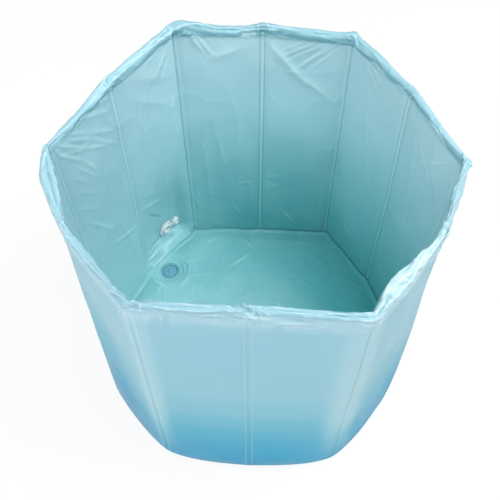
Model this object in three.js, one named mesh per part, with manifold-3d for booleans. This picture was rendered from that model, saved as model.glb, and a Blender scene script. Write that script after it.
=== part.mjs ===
// A foldable ice bath: six sides of stiff panels, a padded floor, a drain and a wall outlet
// Millimetres, +Z up, X to the right and Y away from the front, origin under the middle of the floor
import * as THREE from 'three';
import { mergeVertices } from 'three/addons/utils/BufferGeometryUtils.js';
import Module from 'manifold-3d';

const wasm = await Module();
wasm.setup();

// Overall size
const sideCount = 6;
const rimCornerRadius = 400; // from the middle to the outside of a rim corner
const tubHeight = 650;
const midSwell = 14; // how far a mid seam stands out past the straight line between its corners

// Clearances
const seatGap = 0.3; // between pieces that lie on each other
const seamGap = 0.6; // between one panel's edge and the next
const cutOverrun = 5; // how far a cutting tool runs past what it cuts

// Floor, from the ground up
const baseSheetThickness = 1.2;
const floorPadThickness = 9.5;
const floorSheetThickness = 1;
const floorCornerRadius = 80;

// Wall, from the outside in
const skinThickness = 1;
const boardThickness = 4;
const linerThickness = 1;
const boardSeamMargin = 5; // soft strip beside each seam, where the wall folds
const boardEndMargin = 8; // soft strip above and below a board

// Rim hem, an upside-down U over the top of the wall
const hemOuterLeg = 5.3;
const hemInnerLeg = 3.5;
const hemRollHeight = 10; // from the wall's top edge to the top of the rim
const hemOuterDrop = 35;
const hemInnerDrop = 15;
const hemEdgeRadius = 6;
const hemOuterPinch = 3; // how much thinner the outer leg gets at a seam
const hemInnerPinch = 1.5;
const hemSag = 4; // how much lower the rim is between two seams
const hemSteps = 8;
const hemEdgeSteps = 3;

// Floor drain, its place measured on the left back side
const drainFromWall = 52; // from the rim's inner plane
const drainFromSeam = 33; // from the mid seam, towards the back corner
const drainFlangeRadius = 25;
const drainFlangeDepth = 4;
const drainBarrelRadius = 18;
const drainBoreRadius = 14;
const drainBarrelFootGap = 0.6; // between the barrel's foot and the ground
const drainWasherThickness = 1.3;
const plugLipRadius = 17;
const plugLipThickness = 1.2;
const plugSeatDepth = 2.4; // from the floor down to the ledge that the plug's lip sits on
const plugStemDepth = 5;
const plugFit = 0.3;
const plugKnobRadius = 6;
const plugKnobHeight = 0.8; // above the lip, and still below the floor's top

// Wall outlet, on the same side
const outletFromSeam = 104;
const outletHeight = 72; // above the ground
const outletTilt = THREE.MathUtils.degToRad(11); // the open cap hangs a little low
const outletFlangeRadius = 22.5;
const outletFlangeThickness = 1.8;
const outletNeckRadius = 13;
const outletNeckHeight = 5.6; // above the flange
const outletBoreRadius = 10;
const outletBarrelRadius = 12.6;
const outletGasketThickness = 1;
const outletGasketRadius = 21;
const outletNutThickness = 5;
const outletNutRadius = 20;
const outletBarrelEnd = 2; // how far the barrel stands out of the nut
const capRadius = 16;
const capThickness = 3;
const capPlugDepth = 4;
const capPlugFit = 0.6;
const capEdgeGap = 1.5; // between the open cap and the flange's edge
const tetherWidth = 5;
const tetherThickness = 1.2;
const tetherRingWall = 2.5;
const tetherReach = 3; // how far the strap lies over the open cap

const roundSegments = 32;
const cornerSegments = 4;
const smallSegments = 24;

// Derived levels
const halfSector = Math.PI / sideCount;
const wallStack = skinThickness + boardThickness + linerThickness + 2 * seatGap;
const hemThickness = hemOuterLeg + hemInnerLeg + wallStack + 2 * seatGap;
const hemOuterApothem = rimCornerRadius * Math.cos(halfSector);
const hemInnerApothem = hemOuterApothem - hemThickness;
const linerFace = hemInnerApothem + hemInnerLeg + seatGap;
const boardFace = linerFace + linerThickness + seatGap;
const skinFace = boardFace + boardThickness + seatGap;
const wallFace = skinFace + skinThickness;
const padBottom = baseSheetThickness + seatGap;
const padTop = padBottom + floorPadThickness;
const floorSheetBottom = padTop + seatGap;
const floorTop = floorSheetBottom + floorSheetThickness;
const wallBottom = floorTop + seatGap;
const wallTop = tubHeight - hemRollHeight;

// Finishes
const finishes = {
  skin: { color: 0x8fc9dc, roughness: 0.42, metalness: 0 },
  liner: { color: 0x8ecdd2, roughness: 0.38, metalness: 0 },
  board: { color: 0xe8e8e2, roughness: 0.8, metalness: 0 },
  hem: { color: 0xbfe6f2, roughness: 0.35, metalness: 0 },
  base: { color: 0x4aa4c2, roughness: 0.5, metalness: 0 },
  pad: { color: 0xdfe6e4, roughness: 0.9, metalness: 0 },
  floor: { color: 0x72b8bf, roughness: 0.35, metalness: 0 },
  drain: { color: 0x6ca6bd, roughness: 0.3, metalness: 0 },
  plug: { color: 0x9dbfd6, roughness: 0.3, metalness: 0 },
  washer: { color: 0x3c4a52, roughness: 0.7, metalness: 0 },
  fitting: { color: 0xdcebee, roughness: 0.35, metalness: 0 },
};

const icebath = new THREE.Group();

function addPiece(parent, name, geometry, finish) {
  const mesh = new THREE.Mesh(geometry, new THREE.MeshStandardMaterial(finishes[finish]));
  mesh.name = name;
  parent.add(mesh);
  return mesh;
}

// Turns a closed geometry's faces out, if they point in
function facingOut(geometry) {
  const at = geometry.getAttribute('position');
  const index = geometry.getIndex();
  const corner = [new THREE.Vector3(), new THREE.Vector3(), new THREE.Vector3()];
  let volume = 0;
  for (let i = 0; i < index.count; i += 3) {
    corner.forEach((point, n) => point.fromBufferAttribute(at, index.getX(i + n)));
    volume += corner[0].dot(corner[1].clone().cross(corner[2]));
  }
  if (volume < 0) {
    for (let i = 0; i < index.count; i += 3) {
      const first = index.getX(i);
      index.setX(i, index.getX(i + 1));
      index.setX(i + 1, first);
    }
  }
  geometry.computeVertexNormals();
  return geometry;
}

function merged(geometry) {
  const plain = geometry.clone();
  plain.deleteAttribute('normal');
  plain.deleteAttribute('uv');
  return facingOut(mergeVertices(plain));
}

function solidOf(geometry) {
  const plain = merged(geometry);
  return new wasm.Manifold(new wasm.Mesh({
    numProp: 3,
    vertProperties: new Float32Array(plain.getAttribute('position').array),
    triVerts: new Uint32Array(plain.getIndex().array),
  }));
}

function geometryOf(solid) {
  const mesh = solid.getMesh();
  const geometry = new THREE.BufferGeometry();
  geometry.setAttribute('position', new THREE.BufferAttribute(mesh.vertProperties, mesh.numProp));
  geometry.setIndex(new THREE.BufferAttribute(mesh.triVerts, 1));
  geometry.computeVertexNormals();
  return geometry;
}

function cut(geometry, ...tools) {
  return geometryOf(tools.reduce((solid, tool) => solid.subtract(solidOf(tool)), solidOf(geometry)));
}

// A solid turned about Z from a profile of [radius, height] points
function turned(profile, segments = roundSegments) {
  const points = [...profile, profile[0]].map(([radius, height]) => new THREE.Vector2(radius, height));
  const onAxis = profile[0][0] === 0;
  const lathe = new THREE.LatheGeometry(onAxis ? points.slice(0, -1) : points, segments);
  return merged(lathe.rotateX(Math.PI / 2));
}

function disc(radius, bottom, top, segments = roundSegments) {
  return turned([[0, bottom], [radius, bottom], [radius, top], [0, top]], segments);
}

function ring(inner, outer, bottom, top, segments = roundSegments) {
  return turned([[inner, bottom], [outer, bottom], [outer, top], [inner, top]], segments);
}

function extruded(shape, bottom, top, curveSegments) {
  const body = new THREE.ExtrudeGeometry(shape, { depth: top - bottom, bevelEnabled: false, curveSegments });
  return merged(body.translate(0, 0, bottom));
}

// Where a panel's corner end lies, on the line that halves the corner
function cornerEnd(apothem) {
  return apothem * Math.tan(halfSector) - seamGap / 2 / Math.cos(halfSector);
}

// How far the swollen wall stands out of the straight one, at a distance from the mid seam
function swell(along, apothem) {
  return midSwell * (1 - along / cornerEnd(apothem));
}

// One layer of a panel, as an outline seen from above with Y pointing out of the tub
function layer(inner, outer, side, margin, bottom, top) {
  const midEnd = Math.max(seamGap / 2, margin);
  const outline = [
    [midEnd, inner],
    [cornerEnd(inner) - margin, inner],
    [cornerEnd(outer) - margin, outer],
    [midEnd, outer],
  ];
  const shape = new THREE.Shape(outline.map(([along, out]) => (
    new THREE.Vector2(side * along, out + swell(along, out))
  )));
  return extruded(shape, bottom, top);
}

// The hem's section at one place along a panel: fullness is 0 at a seam and 1 midway
function hemSection(fullness) {
  const outer = hemOuterApothem - hemOuterPinch * (1 - fullness);
  const inner = hemInnerApothem + hemInnerPinch * (1 - fullness);
  const top = tubHeight - hemSag * fullness;
  const radius = Math.min(hemEdgeRadius, (outer - inner) / 2, hemRollHeight);
  const edge = (middle, start) => Array.from({ length: hemEdgeSteps + 1 }, (unused, step) => {
    const angle = start + (step / hemEdgeSteps) * (Math.PI / 2);
    return [middle + radius * Math.cos(angle), top - radius + radius * Math.sin(angle)];
  });
  return [
    [outer, tubHeight - hemOuterDrop],
    ...edge(outer - radius, 0),
    ...edge(inner + radius, Math.PI / 2),
    [inner, tubHeight - hemInnerDrop],
    [linerFace - seatGap, tubHeight - hemInnerDrop],
    [linerFace - seatGap, wallTop + seatGap],
    [wallFace + seatGap, wallTop + seatGap],
    [wallFace + seatGap, tubHeight - hemOuterDrop],
  ];
}

// The hem of one panel, a soft roll that is full in the middle and drawn in at both seams
function hem(side) {
  const sections = Array.from({ length: hemSteps + 1 }, (unused, step) => {
    const along = step / hemSteps;
    const fullness = 1 - Math.abs(2 * along - 1) ** 3;
    return hemSection(fullness).map(([out, height]) => {
      const reach = THREE.MathUtils.lerp(seamGap / 2, cornerEnd(out), along);
      return [side * reach, out + swell(reach, out), height];
    });
  });
  const count = sections[0].length;
  const faces = [];
  for (let step = 0; step < hemSteps; step += 1) {
    for (let n = 0; n < count; n += 1) {
      const next = (n + 1) % count;
      const a = step * count + n;
      const b = step * count + next;
      faces.push(a, b, a + count, b, b + count, a + count);
    }
  }
  const outline = sections[0].map(([, out, height]) => new THREE.Vector2(out, height));
  for (const [a, b, c] of THREE.ShapeUtils.triangulateShape(outline, [])) {
    const last = hemSteps * count;
    faces.push(a, c, b, last + a, last + b, last + c);
  }
  const geometry = new THREE.BufferGeometry();
  geometry.setAttribute('position', new THREE.Float32BufferAttribute(sections.flat(2), 3));
  geometry.setIndex(faces);
  return facingOut(geometry);
}

// The floor's outline follows the walls, with rounded corners
function floorOutline() {
  const cornerRadius = Math.min(floorCornerRadius, wallFace / 2);
  const spread = halfSector - Math.atan2(midSwell, wallFace * Math.tan(halfSector));
  const panelReach = (wallFace / Math.cos(halfSector)) * Math.cos(spread);
  const arcCentre = (panelReach - cornerRadius) / Math.cos(spread);
  const midReach = wallFace + midSwell;
  const shape = new THREE.Shape();
  for (let side = 0; side < sideCount; side += 1) {
    const angle = side * 2 * halfSector;
    const x = arcCentre * Math.cos(angle);
    const y = arcCentre * Math.sin(angle);
    shape.absarc(x, y, cornerRadius, angle - spread, angle + spread, false);
    shape.lineTo(midReach * Math.cos(angle + halfSector), midReach * Math.sin(angle + halfSector));
  }
  return shape;
}

// Twelve panels, numbered from the right-hand corner and round over the back
const outletPanel = 5;
const outletSide = (outletPanel - 1) / 2;

function sideTurn(side) {
  return (2 * side + 1) * halfSector - Math.PI / 2;
}

// The outlet's panel leans from the side's straight line, and the outlet stands square to the panel
const outletLean = -Math.atan2(midSwell, cornerEnd(linerFace));
const outletOut = linerFace + swell(outletFromSeam, linerFace);

function outletHole() {
  const radius = outletBarrelRadius + seatGap;
  const length = 2 * (hemThickness + cutOverrun);
  const hole = new THREE.CylinderGeometry(radius, radius, length, smallSegments);
  return hole.rotateZ(outletLean).translate(outletFromSeam, outletOut, outletHeight);
}

function panelLayers(half) {
  return {
    outer_skin: layer(skinFace, wallFace, half, 0, wallBottom, wallTop),
    board: layer(
      boardFace, boardFace + boardThickness, half, boardSeamMargin,
      wallBottom + boardEndMargin, wallTop - boardEndMargin,
    ),
    inner_liner: layer(linerFace, linerFace + linerThickness, half, 0, wallBottom, wallTop),
  };
}

const layerFinishes = { outer_skin: 'skin', board: 'board', inner_liner: 'liner' };

for (let side = 0; side < sideCount; side += 1) {
  const wall = new THREE.Group();
  wall.rotation.z = sideTurn(side);
  icebath.add(wall);
  [1, -1].forEach((half, second) => {
    const number = 2 * side + second + 1;
    const label = `panel_${String(number).padStart(2, '0')}`;
    for (const [name, geometry] of Object.entries(panelLayers(half))) {
      const holed = number === outletPanel ? cut(geometry, outletHole()) : geometry;
      addPiece(wall, `${label}_${name}`, holed, layerFinishes[name]);
    }
    addPiece(wall, `${label}_rim_hem`, hem(half), 'hem');
  });
}

// Floor, drain and plug
const drainPlace = new THREE.Vector3(drainFromSeam, hemInnerApothem - drainFromWall, 0)
  .applyAxisAngle(new THREE.Vector3(0, 0, 1), sideTurn(outletSide));
const flangeBottom = floorTop - drainFlangeDepth;
const washerTop = flangeBottom - seatGap;
const washerBottom = washerTop - drainWasherThickness;
const plugLedge = floorTop - plugSeatDepth;

function atDrain(geometry) {
  return geometry.translate(drainPlace.x, drainPlace.y, 0);
}

const barrelHole = atDrain(disc(drainBarrelRadius + seatGap, -cutOverrun, floorTop + cutOverrun));
const flangeHole = atDrain(disc(drainFlangeRadius + seatGap, washerBottom - seatGap, floorTop + cutOverrun));

function floorLayer(bottom, top, ...holes) {
  return cut(extruded(floorOutline(), bottom, top, cornerSegments), ...holes);
}

addPiece(icebath, 'base_sheet', floorLayer(0, baseSheetThickness, barrelHole), 'base');
addPiece(icebath, 'floor_pad', floorLayer(padBottom, padTop, barrelHole, flangeHole), 'pad');
addPiece(icebath, 'floor_sheet', floorLayer(floorSheetBottom, floorTop, flangeHole), 'floor');

addPiece(icebath, 'drain_ring', atDrain(turned([
  [drainBoreRadius, drainBarrelFootGap],
  [drainBarrelRadius, drainBarrelFootGap],
  [drainBarrelRadius, flangeBottom],
  [drainFlangeRadius, flangeBottom],
  [drainFlangeRadius, floorTop],
  [plugLipRadius + plugFit, floorTop],
  [plugLipRadius + plugFit, plugLedge],
  [drainBoreRadius, plugLedge],
])), 'drain');

const washer = ring(drainBarrelRadius + seatGap, drainFlangeRadius, washerBottom, washerTop);
addPiece(icebath, 'drain_washer', atDrain(washer), 'washer');

const plugLipBottom = plugLedge + seatGap;
const plugLipTop = plugLipBottom + plugLipThickness;
addPiece(icebath, 'drain_plug', atDrain(turned([
  [0, plugLipBottom - plugStemDepth],
  [drainBoreRadius - plugFit, plugLipBottom - plugStemDepth],
  [drainBoreRadius - plugFit, plugLipBottom],
  [plugLipRadius, plugLipBottom],
  [plugLipRadius, plugLipTop],
  [plugKnobRadius, plugLipTop],
  [plugKnobRadius, plugLipTop + plugKnobHeight],
  [0, plugLipTop + plugKnobHeight],
])), 'plug');

// Wall outlet, built with Z pointing into the tub from the liner and X along the wall to the open cap
const outletPanelFace = new THREE.Group();
outletPanelFace.position.set(outletFromSeam, outletOut, outletHeight);
outletPanelFace.rotation.z = outletLean;
icebath.children[outletSide].add(outletPanelFace);
const outlet = new THREE.Group();
outlet.rotation.set(Math.PI / 2, 0, -outletTilt);
outletPanelFace.add(outlet);

const gasketTop = seatGap + outletGasketThickness;
const outletFlangeBottom = gasketTop + seatGap;
const outletFlangeTop = outletFlangeBottom + outletFlangeThickness;
const neckTop = outletFlangeTop + outletNeckHeight;
const nutTop = -wallStack - seatGap;
const nutBottom = nutTop - outletNutThickness;
const barrelBottom = nutBottom - outletBarrelEnd;
const capPlace = outletFlangeRadius + capEdgeGap + capRadius;
const capPlugRadius = outletBoreRadius - capPlugFit;

addPiece(outlet, 'outlet_body', turned([
  [outletBoreRadius, barrelBottom],
  [outletBarrelRadius, barrelBottom],
  [outletBarrelRadius, outletFlangeBottom],
  [outletFlangeRadius, outletFlangeBottom],
  [outletFlangeRadius, outletFlangeTop],
  [outletNeckRadius, outletFlangeTop],
  [outletNeckRadius, neckTop],
  [outletBoreRadius, neckTop],
], smallSegments), 'fitting');

const gasket = ring(outletBarrelRadius + seatGap, outletGasketRadius, seatGap, gasketTop, smallSegments);
addPiece(outlet, 'outlet_gasket', gasket, 'washer');

const nutHole = disc(outletBarrelRadius + seatGap, nutBottom - cutOverrun, nutTop + cutOverrun, smallSegments);
addPiece(outlet, 'outlet_nut', cut(disc(outletNutRadius, nutBottom, nutTop, 6), nutHole), 'fitting');

const cap = turned([
  [0, seatGap],
  [capRadius, seatGap],
  [capRadius, seatGap + capThickness],
  [capPlugRadius, seatGap + capThickness],
  [capPlugRadius, seatGap + capThickness + capPlugDepth],
  [0, seatGap + capThickness + capPlugDepth],
], smallSegments);
addPiece(outlet, 'outlet_cap', cap.translate(capPlace, 0, 0), 'fitting');

// The strap that keeps the cap: a ring round the neck with an arm that ends on the open cap
function tether() {
  const inner = outletNeckRadius + seatGap;
  const outer = inner + tetherRingWall;
  const armEnd = capPlace - capRadius + tetherReach;
  const start = Math.asin(tetherWidth / 2 / outer);
  const shape = new THREE.Shape();
  shape.absarc(0, 0, outer, start, 2 * Math.PI - start, false);
  shape.lineTo(armEnd, -tetherWidth / 2);
  shape.lineTo(armEnd, tetherWidth / 2);
  shape.closePath();
  const hole = new THREE.Path();
  hole.absarc(0, 0, inner, 0, 2 * Math.PI, true);
  shape.holes.push(hole);
  const bottom = Math.max(outletFlangeTop, seatGap + capThickness) + seatGap;
  return extruded(shape, bottom, bottom + tetherThickness, smallSegments);
}
addPiece(outlet, 'outlet_tether', tether(), 'fitting');

export default icebath;
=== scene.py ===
import itertools
import math

import bmesh
import bpy
import numpy as np
from mathutils import Matrix, Vector


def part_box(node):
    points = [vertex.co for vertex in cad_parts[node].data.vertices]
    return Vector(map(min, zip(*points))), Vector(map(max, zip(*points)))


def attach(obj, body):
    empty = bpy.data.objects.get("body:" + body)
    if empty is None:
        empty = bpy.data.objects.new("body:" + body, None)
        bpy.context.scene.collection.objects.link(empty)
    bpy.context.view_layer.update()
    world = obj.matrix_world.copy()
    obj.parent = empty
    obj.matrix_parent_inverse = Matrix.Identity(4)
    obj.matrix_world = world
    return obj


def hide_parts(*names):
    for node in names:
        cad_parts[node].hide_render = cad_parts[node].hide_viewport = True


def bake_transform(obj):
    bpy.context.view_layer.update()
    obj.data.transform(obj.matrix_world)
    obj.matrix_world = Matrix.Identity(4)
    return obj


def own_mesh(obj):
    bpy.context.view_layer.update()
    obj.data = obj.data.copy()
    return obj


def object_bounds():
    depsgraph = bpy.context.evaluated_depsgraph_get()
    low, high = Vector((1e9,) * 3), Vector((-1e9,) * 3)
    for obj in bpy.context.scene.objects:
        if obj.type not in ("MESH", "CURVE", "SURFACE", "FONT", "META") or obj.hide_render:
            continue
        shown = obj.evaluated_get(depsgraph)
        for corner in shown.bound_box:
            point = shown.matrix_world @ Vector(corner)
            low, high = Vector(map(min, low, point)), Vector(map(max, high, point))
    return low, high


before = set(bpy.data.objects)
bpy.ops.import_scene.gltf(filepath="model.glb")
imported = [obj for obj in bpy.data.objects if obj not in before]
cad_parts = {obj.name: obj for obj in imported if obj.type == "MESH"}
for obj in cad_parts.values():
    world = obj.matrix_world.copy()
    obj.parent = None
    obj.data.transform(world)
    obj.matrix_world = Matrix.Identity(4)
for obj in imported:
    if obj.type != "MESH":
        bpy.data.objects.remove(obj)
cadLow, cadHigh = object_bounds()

# Places round the tub are given by t, which counts half sides from the right-hand corner: whole even
# numbers are corners, odd ones are mid seams, and panel n lies between t = n - 1 and t = n
# Heights and lengths are in metres, +Z up, with the front of the tub at -Y

skinLow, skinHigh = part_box("panel_03_outer_skin")

# The four tables go round from the right-hand corner over the back, one value for each whole t
tub = {
    "height": cadHigh.z,
    "wallFace": skinLow.y + 0.001,
    "linerFace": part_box("panel_03_inner_liner")[0].y,
    "midSwell": skinHigh.y - skinLow.y - 0.001,
    "floorTop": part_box("floor_sheet")[1].z,
    "hemLeg": 0.0056,
    "rimReach": (0.393, 0.3535, 0.390, 0.3565, 0.388, 0.3525, 0.4015, 0.384, 0.403, 0.3475, 0.409, 0.378),
    "rimLift": (-0.008, 0.004, 0.000, 0.000, 0.010, 0.000, -0.005, -0.002, 0.006, 0.000, 0.000, 0.007),
    "baseReach": (0.364, 0.352, 0.372, 0.352, 0.372, 0.352, 0.373, 0.359, 0.366, 0.344, 0.367, 0.347),
    "floorReach": (0.337, 0.321, 0.356, 0.314, 0.346, 0.323, 0.346, 0.330, 0.347, 0.320, 0.347, 0.322),
    "creaseLevel": 0.018,        # height at which the floor's creases are read off the photograph
    "bottomCurl": 0.009,
    "filmThickness": 0.002,
}
tub["rimOuter"] = tub["wallFace"] + tub["hemLeg"]
tub["rimInner"] = tub["rimOuter"] - 0.016

cornerTurn = math.cos(math.radians(30))
halfSide = tub["rimOuter"] * math.tan(math.radians(30))
kernelShares = np.linspace(-1, 1, 13)
kernelWeights = (1.08 - np.abs(kernelShares)) / (1.08 - np.abs(kernelShares)).sum()

bodyOfPanel = {
    5: "tub_floor", 6: "tub_floor", 4: "wall_04", 3: "wall_03", 2: "wall_02", 1: "wall_01",
    12: "wall_far", 11: "wall_far", 7: "wall_07", 8: "wall_08", 9: "wall_09", 10: "wall_10",
}
openSeam = 10               # the seam that stays open so that the ring of walls can fold
rigidSeams = (5, 11, openSeam)


# Camera, from a fit to the rim, base and floor corners
photo = {
    "lens": 59.2,
    "sensor": 36.0,
    "pixels": 500,
    "distance": 1.7701,
    "azimuth": math.radians(2.468),
    "elevation": math.radians(53.57),
    "roll": math.radians(-0.04),
    "target": (-0.0128, 0.0121, 0.3246),
}


def cameraAxes():
    az, el, roll = photo["azimuth"], photo["elevation"], photo["roll"]
    back = np.array([math.sin(az) * math.cos(el), -math.cos(az) * math.cos(el), math.sin(el)])
    level = np.array([math.cos(az), math.sin(az), 0])
    upright = np.cross(back, level)
    right = level * math.cos(roll) + upright * math.sin(roll)
    up = -level * math.sin(roll) + upright * math.cos(roll)
    return right, up, back


cameraRight, cameraUp, cameraBack = cameraAxes()
cameraPlace = np.array(photo["target"]) + cameraBack * photo["distance"]


def addObject(name, data):
    item = bpy.data.objects.new(name, data)
    bpy.context.scene.collection.objects.link(item)
    return item


def makeCamera():
    data = bpy.data.cameras.new("photo_camera")
    data.lens = photo["lens"]
    data.sensor_width = photo["sensor"]
    camera = addObject("photo_camera", data)
    turn = np.eye(4)
    turn[:3, :3] = np.stack([cameraRight, cameraUp, cameraBack], 1)
    turn[:3, 3] = cameraPlace
    camera.matrix_world = Matrix(turn.tolist())
    bpy.context.scene.camera = camera


def rayThrough(px, py):
    focus = photo["pixels"] * photo["lens"] / photo["sensor"]
    middle = photo["pixels"] / 2
    return cameraRight * (px - middle) / focus - cameraUp * (py - middle) / focus - cameraBack


makeCamera()
print("camera placed")


# Noise and creases
def latticeNoise(cells, seed, wrap=None):
    base = np.floor(cells).astype(np.int64)
    part = cells - base
    ease = part * part * part * (part * (part * 6 - 15) + 10)
    total = np.zeros(cells.shape[:-1])
    for corner in itertools.product((0, 1), repeat=3):
        spot = base + np.array(corner)
        if wrap:
            spot[..., 0] %= wrap
        mix = np.bitwise_xor.reduce(spot * (73856093, 19349663, 83492791), axis=-1) ^ (seed * 40503)
        for shift, factor in ((13, 1274126177), (15, 668265263)):
            mix = ((mix ^ (mix >> shift)) * factor) & 0xFFFFFFFF
        weight = np.prod(np.where(np.array(corner) == 1, ease, 1 - ease), axis=-1)
        total += weight * (mix ^ (mix >> 16)) / 4294967296
    return total * 2 - 1


def aroundNoise(t, across, cellAround, cellAcross, seed, layer=0.0):
    count = max(2, round(12 * halfSide / cellAround))
    cells = np.stack(np.broadcast_arrays(t / 12 * count, across / cellAcross, layer + 0.5), axis=-1)
    return latticeNoise(cells, seed, wrap=count)


def foldNoise(t, across, cellAround, cellAcross, seed):
    # 1 along thin wandering lines
    return 1 - np.abs(aroundNoise(t, across, cellAround, cellAcross, seed))


def placeNoise(points, cell, seed):
    return latticeNoise(points / cell + 100, seed)


def smooth(value, low, high):
    share = np.clip((value - low) / (high - low), 0, 1)
    return share * share * (3 - 2 * share)


def ridge(distance, width):
    return np.exp(-np.abs(distance / width) ** 1.4)


def creaseField(along, height, creases):
    total = np.zeros(np.broadcast(along, height).shape)
    for a0, h0, a1, h1, width, rise in creases:
        da, dh = a1 - a0, h1 - h0
        share = np.clip(((along - a0) * da + (height - h0) * dh) / (da * da + dh * dh), 0, 1)
        away = np.hypot(along - a0 - share * da, height - h0 - share * dh)
        taper = np.sin(np.pi * np.clip(share, 0.06, 0.94)) ** 0.6
        total = total + rise * taper * ridge(away, width)
    return total


# The ring: where a wall, hem or floor edge lies in plan, as straight lines between its twelve seams
# that give way to an even curve as roundness goes to 1
def sharpRing(t, reachOf, roundness):
    whole = np.floor(t)
    part = t - whole
    first = whole.astype(int) % 12
    near, far = reachOf(first), reachOf((first + 1) % 12)
    start, end, turn = (np.radians(30) * value for value in (whole, whole + 1, t))
    eased = part * part * (3 - 2 * part)
    radius = near + (far - near) * eased
    spots = []
    for wave in (np.cos, np.sin):
        chord = wave(start) * near * (1 - part) + wave(end) * far * part
        spots.append(chord + (wave(turn) * radius - chord) * roundness)
    return np.stack(spots, axis=-1)


def softRing(t, reachOf, roundness, window):
    total = 0
    for share, weight in zip(kernelShares, kernelWeights):
        total = total + weight * sharpRing(t + share * window, reachOf, roundness)
    return total


def ringWithNormal(t, reachOf, roundness, window):
    ahead = softRing(t + 0.01, reachOf, roundness, window)
    behind = softRing(t - 0.01, reachOf, roundness, window)
    tangent = ahead - behind
    outward = np.stack([tangent[..., 1], -tangent[..., 0]], axis=-1)
    outward /= np.linalg.norm(outward, axis=-1, keepdims=True)
    return (ahead + behind) / 2, outward


def rimReachAt(depth):
    # depth is how far inside the outer face of the hem the line runs
    table = np.array(tub["rimReach"])
    return lambda n: table[n] - depth * np.where(n % 2 == 0, 1 / cornerTurn, 1)


def liftAt(t):
    table = np.array(tub["rimLift"])
    first = np.floor(t).astype(int) % 12
    part = smooth(t - np.floor(t), 0, 1)
    return table[first] * (1 - part) + table[(first + 1) % 12] * part


def wallRing(t, z, inner):
    if inner:
        share = np.clip(1 - (z - tub["floorTop"]) / (tub["height"] - tub["floorTop"]), 0, 1.02)
        low, window = np.array(tub["floorReach"]), 0.024 + 0.012 * share
        rim = rimReachAt(tub["rimOuter"] - tub["linerFace"])
        roundness = 0.06 * smooth(share, 0.1, 1.0)
    else:
        share = np.clip(1 - z / tub["height"], 0, 1)
        low, window = np.array(tub["baseReach"]), 0.05 + 0.08 * (1 - smooth(z, 0, 0.26))
        rim = rimReachAt(tub["hemLeg"])
        roundness = 0.60 * smooth(share, 0.1, 1.0)
    return ringWithNormal(t, lambda n: rim(n) * (1 - share) + low[n] * share, roundness, window)


def alongSide(t):
    return (np.mod(t, 2) - 1) * halfSide


def cornerGap(t):
    return halfSide * np.abs(t - 2 * np.round(t / 2))


def midGap(t):
    return cornerGap(t + 1)


def sideAxes(panel):
    # outwards from the panel's side, and along it
    turn = math.radians(30) * (2 * ((panel - 1) // 2) + 1)
    return np.array([math.cos(turn), math.sin(turn), 0]), np.array([-math.sin(turn), math.cos(turn), 0])


def inPlace(t, position, outward, push, z):
    spot = position + outward * push[..., None]
    raised = z * (1 + liftAt(t) / tub["height"])
    return np.concatenate([spot, np.broadcast_to(raised, spot.shape[:-1])[..., None]], axis=-1)


# A panel leans from its side's straight line, because the mid seams stand out
panelLean = math.atan2(tub["midSwell"], tub["linerFace"] * math.tan(math.radians(30)))


def towardsCorner(panel):
    return 1 if panel % 2 == 0 else -1


def panelNormal(panel):
    out, along = sideAxes(panel)
    return out * math.cos(panelLean) + along * math.sin(panelLean) * towardsCorner(panel)


def panelSpot(panel, fromMid, apothem, z=0.0):
    out, along = sideAxes(panel)
    reach = apothem + tub["midSwell"] * (1 - fromMid / (apothem * math.tan(math.radians(30))))
    return out * reach + along * fromMid * towardsCorner(panel) + np.array([0, 0, z])


# Creases are read as pixels of the photograph and laid on the panel or floor that they are on, with their
# width and rise in millimetres
def onPanel(px, py, panel):
    spots = []
    for t, z in ((panel - 1 + 0.03, 0.1), (panel - 0.03, 0.1), (panel - 0.5, 0.6)):
        position = wallRing(np.array(t), np.array(z), True)[0]
        spots.append(np.array([*position, z]))
    normal = np.cross(spots[1] - spots[0], spots[2] - spots[0])
    ray = rayThrough(px, py)
    hit = cameraPlace + ray * (normal @ (spots[0] - cameraPlace)) / (normal @ ray)
    return hit @ sideAxes(panel)[1], hit[2]


def onFloor(px, py):
    ray = rayThrough(px, py)
    hit = cameraPlace + ray * (tub["creaseLevel"] - cameraPlace[2]) / ray[2]
    return hit[0], hit[1]


def laidCreases(lines, place):
    return [(*place(*line[:2]), *place(*line[2:4]), line[4] / 1000, line[5] / 1000) for line in lines]


# Meshes
def gridNormals(points):
    around = points[1:-1, 2:] - points[1:-1, :-2]
    upward = points[2:, 1:-1] - points[:-2, 1:-1]
    normals = np.cross(around, upward)
    length = np.linalg.norm(normals, axis=-1, keepdims=True)
    return np.where(length > 1e-12, normals / np.maximum(length, 1e-12), np.array([0, 0, 1.0]))


def stretched(values):
    first = 2 * values[0] - values[1]
    last = 2 * values[-1] - values[-2]
    return np.concatenate([[first], values, [last]])


def standOut(relief, reach, scale):
    # how far each place stands out over what lies around it, from -1 in a fold to 1 on a ridge
    wide = relief
    weights = np.hanning(2 * reach + 3)[1:-1]
    weights = weights / weights.sum()
    for axis in (0, 1):
        edges = [(reach, reach) if axis == side else (0, 0) for side in (0, 1)]
        padded = np.pad(wide, edges, mode="edge")
        count = wide.shape[axis]
        wide = sum(w * padded.take(range(n, n + count), axis) for n, w in enumerate(weights))
    return np.clip((relief - wide) / scale, -1, 1)


def spread(start, end, step, fineStep, nearSeam):
    # columns lie closer near a seam
    values = [start]
    while values[-1] < end - 1e-9:
        here = values[-1]
        gap = halfSide * min(abs(t - round(t)) for t in (here, here + step / halfSide))
        size = fineStep if gap < nearSeam - 1e-6 else step
        values.append(here + size / halfSide)
    values = np.array(values)
    return start + (values - start) * (end - start) / (values[-1] - start)


def quadsOf(index):
    return np.stack([index[:-1, :-1], index[:-1, 1:], index[1:, 1:], index[1:, :-1]], -1).reshape(-1, 4)


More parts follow.
